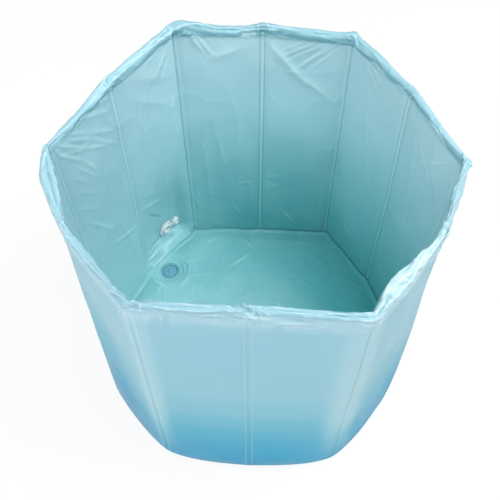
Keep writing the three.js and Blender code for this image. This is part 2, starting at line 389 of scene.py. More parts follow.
def closedPiece(name, points, faces, evenFaces, normals, places, kinds, materials):
    # the first evenFaces faces are shaded by the normals of their points, and the others are flat
    corner = points[faces]
    flat = np.cross(corner[:, 2] - corner[:, 0], corner[:, 3] - corner[:, 1])
    flat /= np.maximum(np.linalg.norm(flat, axis=1, keepdims=True), 1e-12)
    if (flat[:evenFaces] * normals[faces[:evenFaces, 2]]).sum() < 0:
        faces, flat = faces[:, ::-1], -flat
    cornerNormals = normals[faces]
    cornerNormals[evenFaces:] = flat[evenFaces:, None]
    # a face that has one point twice becomes a triangle
    keep = faces != np.roll(faces, 1, axis=1)
    used, order = np.unique(faces, return_inverse=True)
    polygons = [face[kept].tolist() for face, kept in zip(order.reshape(faces.shape), keep)]
    spots = places[faces][keep]
    mesh = bpy.data.meshes.new(name)
    mesh.from_pydata(points[used].tolist(), [], polygons)
    mesh.uv_layers.new(name="around").data.foreach_set("uv", spots[:, :2].ravel())
    mesh.attributes.new("crease", "FLOAT", "CORNER").data.foreach_set("value", spots[:, 2].copy())
    for material in materials:
        mesh.materials.append(material)
    mesh.polygons.foreach_set("material_index", kinds)
    mesh.polygons.foreach_set("use_smooth", [True] * len(polygons))
    mesh.normals_split_custom_set(cornerNormals[keep].tolist())
    mesh.update()
    return addObject(name, mesh)


def shellPiece(name, front, normals, back, places, materials, fan=False):
    rows, cols = front.shape[:2]
    index = np.arange(rows * cols).reshape(rows, cols)
    if fan:
        index[0] = 0
    quads = quadsOf(index)
    edge = np.concatenate([index[0, :-1], index[:-1, -1], index[-1, :0:-1], index[:0:-1, 0]])
    edge = edge[edge != np.roll(edge, 1)]
    nextEdge = np.roll(edge, -1)
    total = rows * cols
    border = np.stack([nextEdge, edge, edge + total, nextEdge + total], -1)
    faces = np.concatenate([quads, quads[:, ::-1] + total, border])
    kinds = [0] * len(quads) + [1] * (len(quads) + len(border))
    points, normals, places = (
        np.concatenate([one.reshape(-1, 3), other.reshape(-1, 3)])
        for one, other in ((front, back), (normals, -normals), (places, places))
    )
    return closedPiece(name, points, faces, 2 * len(quads), normals, places, kinds, materials)


def rollPiece(name, loops, normals, places, material):
    # loops has one closed section for each column: (around the section, along the roll)
    count, cols = loops.shape[:2]
    index = np.arange(count * cols).reshape(count, cols)
    index = np.concatenate([index, index[:1]])
    sides = quadsOf(index)
    middle = np.full(count, count * cols)
    firstEnd = np.stack([index[:-1, 0], index[1:, 0], middle, middle], -1)
    lastEnd = np.stack([index[1:, -1], index[:-1, -1], middle + 1, middle + 1], -1)
    faces = np.concatenate([sides, firstEnd, lastEnd])
    ends = [0, -1]
    points = np.concatenate([loops.reshape(-1, 3), loops[:, ends].mean(0)])
    normals, places = (np.concatenate([a.reshape(-1, 3), a[0, ends]]) for a in (normals, places))
    return closedPiece(name, points, faces, len(sides), normals, places, [0] * len(faces), [material])


# Materials
def screenColour(rgb):
    linear = [((c / 255 + 0.055) / 1.055) ** 2.4 if c > 10 else c / 255 / 12.92 for c in rgb]
    return (*linear, 1)


class Nodes:
    def __init__(self, tree):
        self.nodes = tree.nodes
        self.links = tree.links

    def add(self, kind, **settings):
        node = self.nodes.new(kind)
        for key, value in settings.items():
            setattr(node, key, value)
        return node

    def feed(self, socket, value):
        if isinstance(value, bpy.types.NodeSocket):
            self.links.new(value, socket)
        else:
            socket.default_value = value

    def fill(self, node, **values):
        for name, value in values.items():
            self.feed(node.inputs[name.replace("_", " ")], value)
        return node.outputs[0]

    def maths(self, operation, *values):
        node = self.add("ShaderNodeMath", operation=operation)
        for socket, value in zip(node.inputs, values):
            self.feed(socket, value)
        return node.outputs[0]

    def gap(self, value, place):
        return self.maths("ABSOLUTE", self.maths("SUBTRACT", value, place))

    def step(self, value, low, high, start=0.0, end=1.0):
        node = self.add("ShaderNodeMapRange", interpolation_type="SMOOTHSTEP")
        for socket, number in zip(node.inputs, (value, low, high, start, end)):
            self.feed(socket, number)
        return node.outputs[0]

    def mix(self, factor, first, second):
        node = self.add("ShaderNodeMix", data_type="RGBA")
        for place, value in ((0, factor), (6, first), (7, second)):
            self.feed(node.inputs[place], value)
        return node.outputs[2]

    def either(self, first, second, share):
        node = self.add("ShaderNodeMixShader")
        for socket, value in zip(node.inputs, (share, first, second)):
            self.feed(socket, value)
        return node.outputs[0]


class Finish(Nodes):
    def __init__(self, name):
        self.material = bpy.data.materials.new(name)
        self.material.use_nodes = True
        super().__init__(self.material.node_tree)
        self.shader = self.nodes["Principled BSDF"]

    def ramp(self, factor, stops):
        node = self.add("ShaderNodeValToRGB")
        node.color_ramp.interpolation = "EASE"
        points = node.color_ramp.elements
        for n, (place, rgb) in enumerate(stops):
            point = points[n] if n < 2 else points.new(place)
            point.position = place
            point.color = screenColour(rgb)
        self.feed(node.inputs[0], factor)
        return node.outputs[0]

    def places(self):
        split = self.add("ShaderNodeSeparateXYZ")
        self.feed(split.inputs[0], self.add("ShaderNodeUVMap", uv_map="around").outputs[0])
        return split.outputs[0], split.outputs[1]

    def noise(self, scale, detail=3.0, roughness=0.5, distortion=0.0):
        place = self.add("ShaderNodeTexCoord").outputs["Object"]
        return self.fill(self.add("ShaderNodeTexNoise"), Vector=place, Scale=scale, Detail=detail,
                         Roughness=roughness, Distortion=distortion)

    def bump(self, height, strength, distance):
        node = self.add("ShaderNodeBump")
        normal = self.fill(node, Strength=strength, Distance=distance, Height=height)
        self.fill(self.shader, Normal=normal)

    def between(self, share, first, second):
        return self.mix(share, screenColour(first), screenColour(second))

    def tint(self, share, rgb):
        self.colour = self.mix(share, self.colour, screenColour(rgb))

    def paintCreaseLightAndShade(self, bright, dark, share):
        # painted highlight on the ridges of the relief and painted shade in its folds
        value = self.add("ShaderNodeAttribute", attribute_name="crease").outputs["Fac"]
        self.tint(self.step(value, 0.12, 0.85, 0.0, share), bright)
        self.tint(self.step(value, -0.85, -0.12, share, 0.0), dark)

    def done(self, **values):
        self.fill(self.shader, Base_Color=self.colour, **values)
        return self.material


def vinylGrain(finish, strength, roughLow, roughHigh):
    wrinkle = finish.noise(55, 4, 0.62, 1.2)
    grain = finish.noise(900, 2, 0.5)
    finish.bump(finish.maths("MULTIPLY_ADD", grain, 0.18, wrinkle), strength, 0.0012)
    cloud = finish.noise(9, 3, 0.55)
    finish.fill(finish.shader, Roughness=finish.step(cloud, 0.3, 0.7, roughLow, roughHigh))
    return cloud


outerLook = {
    "ombre": (
        (0.0, (44, 148, 184)), (0.10, (48, 153, 188)), (0.18, (59, 159, 190)), (0.255, (78, 166, 191)),
        (0.335, (101, 174, 195)), (0.42, (122, 182, 199)), (0.55, (136, 187, 202)), (1.0, (140, 189, 205)),
    ),
    # paler near the corner seams, and most beside the front right corner, where it is painted highlight
    "cornerPaleAndHighlight": (168, 204, 212),
    # painted highlight on the weld ridges either side of a mid seam
    "midWeldHighlight": (178, 212, 214),
    "seamShade": (92, 150, 170),
    # ridge: painted highlight on ridges and welds; fold: painted shade in folds
    "ridge": (206, 232, 238),
    "fold": (104, 164, 184),
    "pale": (176, 208, 220),
}


def outerVinyl():
    finish, look = Finish("outer_vinyl"), outerLook
    maths, step, gap = finish.maths, finish.step, finish.gap
    around, height = finish.places()
    toCorner = maths("PINGPONG", around, 1.0)
    toMid = maths("SUBTRACT", 1.0, toCorner)
    cloud = vinylGrain(finish, 0.10, 0.34, 0.46)
    # paler near the corner seams and beside the front corners; beside the front right corner this is painted
    # highlight where the key light falls
    frontRight = step(gap(around, 10), 0.06, 0.30, 1.0, 0.0)
    frontLeft = step(gap(around, 8), 0.05, 0.20, 0.85, 0.0)
    cornerPaleAndHighlight = maths("MAXIMUM", step(toCorner, 0.03, 0.22, 0.45, 0.0), maths("MAXIMUM", frontRight, frontLeft))
    # the deep blue of the foot reaches up less at the corners and more at two mid seams
    level = maths("MULTIPLY_ADD", cornerPaleAndHighlight, 0.10, height)
    level = maths("MULTIPLY_ADD", maths("SUBTRACT", cloud, 0.5), 0.06, level)
    for mid, amount in ((7, 0.20), (11, 0.07)):
        level = maths("SUBTRACT", level, step(gap(around, mid), 0.3, 1.0, amount, 0.0))
    finish.colour = finish.ramp(level, look["ombre"])
    finish.tint(maths("MULTIPLY", cornerPaleAndHighlight, step(height, 0.06, 0.42, 0.0, 0.55)), look["cornerPaleAndHighlight"])
    # painted highlight along the weld ridges either side of each mid seam
    finish.tint(step(gap(toMid, 0.036), 0.004, 0.016, 0.18, 0.0), look["midWeldHighlight"])
    # painted highlight along the weld ridges beside each corner seam, left out at the front right corner
    cornerWeldHighlight = step(gap(toCorner, 0.047), 0.003, 0.014, 0.22, 0.0)
    finish.tint(maths("MULTIPLY", cornerWeldHighlight, maths("SUBTRACT", 1.0, frontRight)), look["ridge"])
    finish.tint(step(toCorner, 0.001, 0.007, 0.45, 0.0), look["seamShade"])
    # paler in patches just under the hem
    patches = step(finish.noise(26, 3, 0.6), 0.35, 0.62, 0.25, 0.8)
    finish.tint(maths("MULTIPLY", step(height, 0.885, 0.945), patches), look["pale"])
    finish.paintCreaseLightAndShade(look["ridge"], look["fold"], 0.3)
    return finish.done(Specular_IOR_Level=0.22)


innerLook = {
    # painted light and shade: darker and deeper in colour towards the floor, most on the right-hand side,
    # which is in shade, and lighter low down on the left-hand side, where the light falls
    "top": (177, 213, 222),
    "topLeft": (158, 197, 207),
    "low": (101, 186, 189),
    "lowLeft": (172, 221, 226),
    # seam: painted shade, in the grooves at the seams, at the foot of the wall and in a line under the hem
    "seam": (48, 136, 142),
    # bright: paler tone in random clouds, and painted highlight on ridges and welds
    "bright": (208, 236, 240),
    # fold: painted shade in folds
    "fold": (84, 156, 164),
}


def towardsLeft(finish, around):
    # 1 on the left-hand side of the tub and 0 on the right-hand side
    wave = finish.maths("COSINE", finish.maths("MULTIPLY", around, math.radians(30)))
    return finish.maths("MULTIPLY_ADD", wave, -0.5, 0.5)


def innerVinyl():
    finish, look = Finish("inner_vinyl"), innerLook
    maths, step, gap = finish.maths, finish.step, finish.gap
    around, height = finish.places()
    toCorner = maths("PINGPONG", around, 1.0)
    toMid = maths("SUBTRACT", 1.0, toCorner)
    cloud = vinylGrain(finish, 0.12, 0.28, 0.42)
    left = towardsLeft(finish, around)
    # painted shade towards the floor and on the right-hand side, and painted light low down on the left-hand
    # side
    top = finish.between(step(left, 0.75, 1.0), look["top"], look["topLeft"])
    low = finish.between(step(left, 0.5, 1.0), look["low"], look["lowLeft"])
    finish.colour = finish.mix(step(height, -0.05, 1.0), low, top)
    finish.tint(step(cloud, 0.35, 0.75, 0.0, 0.12), look["bright"])
    finish.paintCreaseLightAndShade(look["bright"], look["fold"], 0.45)
    # the band and lines at the mid and corner seams: painted highlight on the weld ridges and painted shade
    # in the grooves beside them
    finish.tint(step(toMid, 0.006, 0.020, 0.32, 0.0), look["bright"])
    line = step(gap(toMid, 0.026), 0.002, 0.009, 0.34, 0.0)
    finish.tint(maths("MULTIPLY", line, step(gap(around, 5), 0.3, 0.6, 0.45, 1.0)), look["seam"])
    finish.tint(step(gap(toCorner, 0.021), 0.002, 0.010, 0.35, 0.0), look["bright"])
    finish.tint(step(toCorner, 0.003, 0.010, 0.28, 0.0), look["seam"])
    # painted shade where the wall meets the floor, darkest on the right-hand side
    foot = step(height, 0.024, 0.036, 0.40, 0.0)
    finish.tint(maths("MULTIPLY", foot, step(left, 0.4, 0.95, 1.0, 0.15)), look["seam"])
    # painted shadow in a thin line under the hem
    finish.tint(step(gap(height, 0.966), 0.002, 0.008, 0.2, 0.0), look["seam"])
    return finish.done(Specular_IOR_Level=0.25)


floorTint = {
    "main": (150, 202, 207),
    "cloud": (137, 193, 198),
    # shaded and foot: painted shade; ridge and fold: painted highlight and painted shade on the creases
    "shaded": (91, 184, 187),
    "foot": (36, 116, 120),
    "ridge": (214, 238, 238),
    "fold": (58, 134, 140),
}


def floorVinyl():
    finish, look = Finish("floor_vinyl"), floorTint
    cloud = vinylGrain(finish, 0.10, 0.22, 0.34)
    finish.colour = finish.between(finish.step(cloud, 0.3, 0.7), look["cloud"], look["main"])
    finish.paintCreaseLightAndShade(look["ridge"], look["fold"], 0.38)
    # painted shade: deeper in colour on the right-hand side, which lies in shade, and darker in a line where
    # the floor sheet turns up into the wall's seam, most on that side
    around, share = finish.places()
    deep = finish.maths("SUBTRACT", 1.0, towardsLeft(finish, around))
    deep = finish.maths("MULTIPLY", deep, finish.step(share, 0.05, 0.7))
    finish.tint(deep, look["shaded"])
    line = finish.step(share, 0.978, 0.992, 0.0, 0.7)
    finish.tint(finish.maths("MULTIPLY", line, finish.step(deep, 0.05, 0.5, 0.2, 1.0)), look["foot"])
    return finish.done(Specular_IOR_Level=0.4)


def plainVinyl(name, main, shade, strength=0.12, roughLow=0.3, roughHigh=0.44):
    finish = Finish(name)
    cloud = vinylGrain(finish, strength, roughLow, roughHigh)
    finish.colour = finish.between(finish.step(cloud, 0.3, 0.7), shade, main)
    return finish.done(Specular_IOR_Level=0.4)


hemTint = {
    # going round by t: the back is deeper in colour, and the flap after the front right corner is palest,
    # painted highlight where it faces the key light
    "around": (
        (0, (146, 186, 197)), (2, (134, 177, 189)), (4, (136, 178, 190)), (4.5, (150, 192, 204)),
        (5.4, (146, 188, 200)), (7, (148, 188, 201)), (8, (136, 174, 188)), (9.8, (134, 176, 189)),
        (10.2, (158, 189, 199)), (10.5, (166, 197, 206)), (10.72, (190, 218, 226)), (10.95, (182, 210, 218)),
        (11.15, (150, 188, 200)), (12, (144, 183, 194)),
    ),
    "outside": (164, 203, 217),
    # inside: painted shade on the inward-facing side of the roll, also used for darker random clouds
    "inside": (130, 180, 192),
    # ridge and fold: painted highlight and painted shade on the creases
    "ridge": (198, 225, 232),
    "fold": (70, 138, 154),
}


def hemVinyl():
    finish, look = Finish("hem_vinyl"), hemTint
    around, girth = finish.places()
    cloud = vinylGrain(finish, 0.16, 0.28, 0.4)
    turn = finish.maths("DIVIDE", around, 12.0)
    finish.colour = finish.ramp(turn, [(t / 12, rgb) for t, rgb in look["around"]])
    finish.tint(finish.step(girth, 0.28, 0.42, 0.85, 0.0), look["outside"])
    # painted shade on the inward-facing side of the roll
    finish.tint(finish.step(girth, 0.62, 0.72, 0.0, 0.7), look["inside"])
    finish.tint(finish.step(cloud, 0.35, 0.7, 0.15, 0.0), look["inside"])
    finish.paintCreaseLightAndShade(look["ridge"], look["fold"], 0.5)
    return finish.done(Specular_IOR_Level=0.4)


def clearPlastic(name, main, shade, roughness, through):
    finish = Finish(name)
    cloud = finish.noise(60, 2, 0.5)
    finish.colour = finish.between(cloud, shade, main)
    rough = finish.step(cloud, 0.3, 0.7, roughness - 0.05, roughness + 0.05)
    finish.bump(finish.noise(500, 2, 0.5), 0.05, 0.0005)
    return finish.done(Roughness=rough, Transmission_Weight=through, IOR=1.46, Specular_IOR_Level=0.5)


materials = {
    "outer": outerVinyl(),
    "inner": innerVinyl(),
    "back": plainVinyl("vinyl_back", (176, 206, 212), (160, 194, 202)),
    "hem": hemVinyl(),
    "floor": floorVinyl(),
    "base": plainVinyl("base_vinyl", (74, 164, 194), (66, 152, 182), 0.2, 0.4, 0.55),
    "drain": clearPlastic("drain_plastic", (138, 214, 222), (118, 198, 210), 0.22, 0.45),
    "plug": clearPlastic("plug_plastic", (146, 199, 222), (122, 180, 206), 0.25, 0.3),
    "fitting": clearPlastic("outlet_plastic", (250, 253, 255), (236, 244, 248), 0.25, 0.15),
    "rubber": plainVinyl("grey_rubber", (84, 98, 106), (70, 84, 92), 0.3, 0.5, 0.65),
}
print("materials made")


# Walls: one outer and one inner shell for each panel, with narrow strips over the seams that fold
wallLook = {
    "cornerStrip": 0.066,        # half width of a strip over a corner seam, as a share of half a side
    "midStrip": 0.056,
    "outerStep": 0.005,
    "innerStep": 0.0036,
    "fineStep": 0.0015,
    "nearSeam": 0.015,
    "creaseScale": 0.0011,
    "top": tub["height"] - 0.010,
    "outerSeed": 11,
    "innerSeed": 29,
}

# Ridges of a welded seam in millimetres: distance from the seam, width and rise
frontCornerRidges = {
    8: ((-9.5, 1.6, 1.2), (0, 1.4, 1.3), (9.5, 1.6, 1.2)),
    10: ((0, 1.2, -1.1), (4, 1.6, 0.5), (-4, 1.6, 0.5)),
}
cornerRidges = ((-6, 1.6, 0.9), (0, 1.3, -0.9), (6, 1.6, 0.9))
midRidges = ((-6.8, 1.6, 1.3), (6.8, 1.6, 1.3), (0, 2, -0.5))
innerCornerRidges = ((0, 2, -1.4), (5, 1.8, 1.1), (-5, 1.8, 1.1))
innerMidRidges = ((0, 2.2, 1.7), (-5.6, 1.6, -0.7), (5.6, 1.6, -0.7))


def seamRelief(t, mids, corners, special):
    total = np.zeros(np.shape(t))
    for whole in range(-1, 14):
        for place, width, rise in mids if whole % 2 else special.get(whole % 12, corners):
            away = (t - whole) * halfSide * 1000 - place
            total = total + rise / 1000 * np.exp(-away ** 2 / width ** 2)
    return total


def outerRelief(t, z):
    seed = wallLook["outerSeed"]
    fromTop = tub["height"] - 0.035 - z
    total = 0.0022 * aroundNoise(t, z, 0.13, 0.22, seed) + 0.0006 * aroundNoise(t, z, 0.05, 0.07, seed + 1)
    boardEdge = smooth(cornerGap(t), 0.010, 0.030) * smooth(midGap(t), 0.006, 0.016) * smooth(z, 0.008, 0.03)
    total = total + 0.0014 * boardEdge + seamRelief(t, midRidges, cornerRidges, frontCornerRidges)
    gathers = np.abs(aroundNoise(t, z, 0.016, 0.11, seed + 2)) ** 0.8
    total = total - 0.0026 * gathers * np.exp(-np.clip(fromTop, 0, 1) / 0.03)
    fold = foldNoise(t + z * 1.2, z, 0.10, 0.30, seed + 3)
    total = total + 0.0004 * fold ** 8 * smooth(fromTop, -0.01, 0.06)
    return total * smooth(z, -0.002, 0.02)


# Creases on the inside walls of each panel: two pixels of the photograph, then width and rise in millimetres
innerCreases = {
    1: ((425, 106, 452, 150, 4, 1.8), (420, 132, 431, 192, 3, 1.2), (466, 165, 412, 166, 4, 1.2),
        (455, 180, 440, 216, 5, 1.8)),
    2: ((358, 44, 376, 94, 4, 1.4), (361, 46, 386, 96, 3, 1.2), (364, 52, 398, 88, 4, 1.4),
        (360, 40, 372, 78, 3, 1.2), (372, 110, 404, 100, 10, 1), (336, 205, 348, 240, 6, 1)),
    3: ((268, 42, 308, 82, 11, 4), (300, 74, 342, 102, 12, 3.2), (350, 40, 292, 72, 3, 1.4),
        (345, 38, 286, 62, 3, 1.5), (348, 46, 310, 72, 3, 1.3), (310, 42, 282, 52, 3, 1.6),
        (330, 40, 276, 58, 2.6, 1.3), (340, 40, 300, 70, 2.6, 1.2), (318, 44, 284, 57, 2.4, 1.2),
        (262, 176, 284, 176, 5, 1.2), (262, 187, 286, 184, 4, 1.2), (275, 200, 300, 224, 6, 1.4)),
    4: ((184, 35, 200, 56, 4, 3.4), (188, 34, 208, 56, 4, 3), (205, 60, 240, 48, 10, 2.2),
        (196, 120, 206, 214, 12, 2), (214, 128, 222, 200, 16, 2), (236, 120, 238, 206, 16, 1.6),
        (234, 183, 252, 181, 4, 1.4), (226, 203, 240, 216, 4, 1.4), (200, 222, 214, 226, 4, 1.6)),
    5: ((172, 50, 158, 78, 4, 1.6), (174, 58, 166, 82, 3, 1.4), (168, 44, 148, 66, 4, 1.4),
        (140, 78, 176, 76, 12, 1.8), (132, 98, 176, 104, 14, 2), (142, 210, 166, 200, 5, 2.4),
        (150, 215, 170, 219, 3, -2.4), (146, 196, 160, 190, 8, 1.4), (152, 256, 182, 234, 2.8, 3.4),
        (156, 246, 178, 230, 3, 3), (151, 262, 166, 250, 2.8, 3), (170, 240, 188, 230, 2.6, 3),
        (154, 250, 162, 238, 3, 2.4)),
    6: ((62, 136, 88, 133, 3.5, 1.8), (88, 133, 112, 128, 4, 1.6), (66, 142, 86, 139, 3, 2.4),
        (86, 139, 114, 142, 3.5, 1.8), (58, 147, 84, 149, 3.2, 2.8), (84, 149, 106, 144, 3.5, 2.2),
        (66, 154, 82, 152, 2.5, 2.4), (54, 152, 60, 158, 2.4, 1.8), (58, 158, 66, 157, 2.4, 1.8),
        (62, 158, 80, 161, 4, 2.2), (80, 161, 96, 171, 4, 1.6), (74, 169, 96, 178, 4, 1.4),
        (72, 122, 108, 108, 6, 1.8), (84, 108, 108, 94, 6, 1.6), (68, 180, 88, 184, 5, 1),
        (76, 196, 98, 194, 5, 1), (80, 212, 96, 211, 5, 1.2), (84, 226, 112, 231, 4.5, 2),
        (112, 247, 136, 226, 4.5, 2.2)),
}

wallOutlet = {
    "fromSeam": 0.104,
    "height": 0.072,
    "tilt": math.radians(11),
    "cap": (0.040, 0.008),       # how far the cap's middle is along the wall from the outlet, and below it
    # The wall is flat nearer to the outlet or the cap than the first distance, and free beyond the second
    "flatOutside": (0.026, 0.080),
    "flatInside": (0.022, 0.045),
    # The recess behind them begins and ends between these distances along the wall and up it
    "recessLeft": (-0.093, -0.055),
    "recessRight": (0.020, 0.135),
    "recessBelow": (-0.062, -0.022),
    "recessAbove": (0.022, 0.26),
    "gatherLeft": (-0.125, -0.08),     # the same for the small folds of the sheet below the outlet
    "gatherRight": (0.07, 0.12),
    "gatherAbove": (-0.027, -0.002),
    "gatherSize": (0.060, 0.0125),
    "gatherRise": 0.0046,
}
wallOutlet["t"] = 5 - wallOutlet["fromSeam"] / halfSide
outletPlace = panelSpot(5, wallOutlet["fromSeam"], tub["linerFace"], wallOutlet["height"])
outletOut = panelNormal(5)


def fromOutlet(t, z):
    return (t - wallOutlet["t"]) * halfSide, z - wallOutlet["height"]


def awayFromOutlet(t, z, margin=0.0):
    # distance from the outlet or the cap, whichever is nearer, with the margin added to the cap's
    across, up = fromOutlet(t, z)
    along, below = wallOutlet["cap"]
    return np.minimum(np.hypot(across, up), np.hypot(across + along, up + below) + margin)


def within(across, up, kind):
    left, right, above = (wallOutlet[kind + side] for side in ("Left", "Right", "Above"))
    return smooth(across, *left) * (1 - smooth(across, *right)) * (1 - smooth(up, *above))


def innerRelief(t, z):
    seed = wallLook["innerSeed"]
    total = 0.0030 * aroundNoise(t, z, 0.12, 0.16, seed) + 0.0010 * aroundNoise(t, z, 0.045, 0.06, seed + 1)
    boardEdge = smooth(cornerGap(t), 0.004, 0.022) * smooth(midGap(t), 0.006, 0.018)
    total = total - 0.0015 * (1 - boardEdge) + seamRelief(t, innerMidRidges, innerCornerRidges, {})
    fold = foldNoise(t - z * 0.9, z, 0.09, 0.20, seed + 2)
    cross = foldNoise(t + z * 2.0, z, 0.12, 0.10, seed + 3)
    total = total + 0.0010 * fold ** 14 + 0.0006 * cross ** 16
    # the sheet is gathered in small folds between the outlet and the floor
    ruck = foldNoise(t + z * 1.5, z, *wallOutlet["gatherSize"], seed + 5) ** 3 - 0.35
    total = total + wallOutlet["gatherRise"] * within(*fromOutlet(t, z), "gather") * ruck
    along = alongSide(t)
    for panel, lines in innerCreases.items():
        inPanel = (t >= panel - 1) & (t <= panel)
        if not inPanel.any():
            continue
        laid = laidCreases(lines, lambda px, py, p=panel: onPanel(px, py, p))
        fade = smooth(t - panel + 1, 0, 0.05) * smooth(panel - t, 0, 0.05)
        total = total + np.where(inPanel, creaseField(along, z, laid) * fade, 0)
    return total


def outerSurface(t, z, relief=None):
    position, outward = wallRing(t, z, False)
    curl = tub["bottomCurl"]
    low = np.clip(1 - z / curl, 0, 1)
    tuck = curl * (1 - np.sqrt(np.clip(1 - low ** 2, 0, 1)))
    push = (outerRelief(t, z) if relief is None else relief) - tuck
    flat = 1 - smooth(awayFromOutlet(t, z), *wallOutlet["flatOutside"])
    toPlane = tub["wallFace"] - tub["linerFace"] + outletPlace @ outletOut - position @ outletOut[:2]
    push = push * (1 - flat) + toPlane * flat
    return inPlace(t, position, outward, push, z)


def besideOutlet(t, z):
    # 1 where the wall lies flat behind the outlet's flange and cap, falling away above and to the sides
    across, up = fromOutlet(t, z)
    return within(across, up, "recess") * smooth(up, *wallOutlet["recessBelow"])


def innerSurface(t, z, relief=None):
    position, outward = wallRing(t, z, True)
    push = -(innerRelief(t, z) if relief is None else relief)
    flat = besideOutlet(t, z)
    close = 1 - smooth(awayFromOutlet(t, z, 0.006), *wallOutlet["flatInside"])
    toPlane = outletPlace @ outletOut - position @ outletOut[:2]
    push = push * (1 - close) + toPlane * flat
    return inPlace(t, position, outward, push, z)


def heights(inner, high, step):
    # rows lie closer near the ground, for the outer curl and for the small folds at the foot inside
    start = list(np.linspace(0.012, 0.072, 31)) if inner else [0, 0.0004, 0.0015, 0.0035, 0.006, 0.009, 0.013]
    count = max(2, round((high - start[-1]) / step))
    return np.array(start + list(np.linspace(start[-1], high, count + 1)[1:]))


def wallPiece(name, inner, tStart, tEnd):
    look = wallLook
    step = look["innerStep"] if inner else look["outerStep"]
    surface, reliefOf = (innerSurface, innerRelief) if inner else (outerSurface, outerRelief)
    cols = spread(tStart, tEnd, step, look["fineStep"], look["nearSeam"])
    t, z = np.meshgrid(stretched(cols), stretched(heights(inner, look["top"], step * 1.25)))
    relief = reliefOf(t, z)
    points = surface(t, z, relief)
    front, normals = points[1:-1, 1:-1], gridNormals(points) * (-1 if inner else 1)
    level = normals * (1, 1, 0)
    level /= np.maximum(np.linalg.norm(level, axis=-1, keepdims=True), 1e-9)
    away = smooth(np.minimum(cornerGap(t), midGap(t)), 0.010, 0.022)
    crease = standOut(relief, 4, look["creaseScale"]) * away
    places = np.stack([t, z / tub["height"], crease], -1)[1:-1, 1:-1]
    kinds = [materials["inner" if inner else "outer"], materials["back"]]
    return shellPiece(name, front, normals, front - level * tub["filmThickness"], places, kinds)


def panelEnds(panel, cornerTrim, midTrim):
    # a piece stops short of every seam that folds
    ends = []
    for whole, sign in ((panel - 1, 1), (panel, -1)):
        trim = cornerTrim if whole % 2 == 0 else midTrim
        ends.append(whole + sign * (0 if whole % 12 in rigidSeams else trim))
    return ends


def panelName(panel):
    return f"panel_{panel:02d}"


def settle(piece, body, slot, *nodes):
    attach(piece, body)
    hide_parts(*nodes)


def flattens(piece):
    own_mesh(piece)


def makeWalls():
    for panel in range(1, 13):
        for inner, kind, node, face, keep in (
            (False, "outer", "outer_skin", "wallFace", 0.2),
            (True, "inner", "inner_liner", "linerFace", 0.15),
        ):
            label = panelName(panel)
            ends = panelEnds(panel, 0 if inner else wallLook["cornerStrip"], wallLook["midStrip"])
            wall = wallPiece(f"{label}_{kind}_wall", inner, *ends)
            settle(wall, bodyOfPanel[panel], f"{kind}_pvc", f"{label}_{node}", f"{label}_board")
            flattens(wall)


def bendOver(piece, whole, halfWidth, surface):
    middle = tub["height"] / 2
    spots = surface(np.array([[whole - halfWidth, whole + halfWidth]]), np.full((1, 2), middle))[0]
    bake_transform(piece)


def makeSeamStrips():
    for whole in range(12):
        if whole in rigidSeams:
            continue
        kind = "corner" if whole % 2 == 0 else "mid"
        width = wallLook[f"{kind}Strip"]
        for inner, face, surface in ((False, "outer", outerSurface), (True, "inner", innerSurface)):
            if inner and kind == "corner":
                continue
            strip = wallPiece(f"{face}_{kind}_seam_{whole:02d}", inner, whole - width, whole + width)
            bendOver(strip, whole, width, surface)


makeWalls()
makeSeamStrips()
print("walls made")


# Rim hem: a soft roll over the top of the wall, drawn in at every seam
hemLook = {
    "joint": 0.056,
    "window": 0.030,
    "step": 0.0028,
    "fineStep": 0.0018,
    "sag": 0.004,
    "girth": 0.105,
    # How far the roll is out of its even shape, as (t, millimetres) going round
    "drop": ((0, 2), (2, 1), (4, 1), (5, 4), (6, 6), (7, 4), (7.8, 0), (8, -12), (8.2, -11), (8.5, -5),
        (8.75, 1), (8.95, 10), (9.1, 9), (9.5, 7), (10, 3), (10.5, 12), (10.9, 8), (11.2, 1), (12, 2)),
    "outward": ((0, 0), (2.9, 3), (4, 3), (4.5, 6), (4.95, 6), (5.6, 2), (6, 0), (6.32, 13), (6.8, 3),
        (7, 0), (9.5, 2), (10.5, 2), (11, -1), (11.5, 2), (12, 0)),
    "inward": ((0, 0), (8.1, 0), (8.5, 1), (9.05, 2), (10, 0), (10.35, 14), (10.75, 5), (10.97, -4),
        (11.3, -5), (11.7, -2), (12, 0)),
    "rise": ((0, 0), (1.9, 2), (2, 6), (2.4, 6), (3, 7), (3.5, 4), (3.86, 15), (4, 8), (4.4, 4), (4.97, 5),
        (5.3, 0), (8.93, 0), (9, 5), (9.1, 0), (12, 0)),
    "crumple": (0.0019, 0.0022, 0.0020, 0.0018, 0.0020, 0.0030),      # by side, from the right-hand back one
    "creaseScale": 0.0011,
    "perSpan": 4,
    "seed": 53,
}


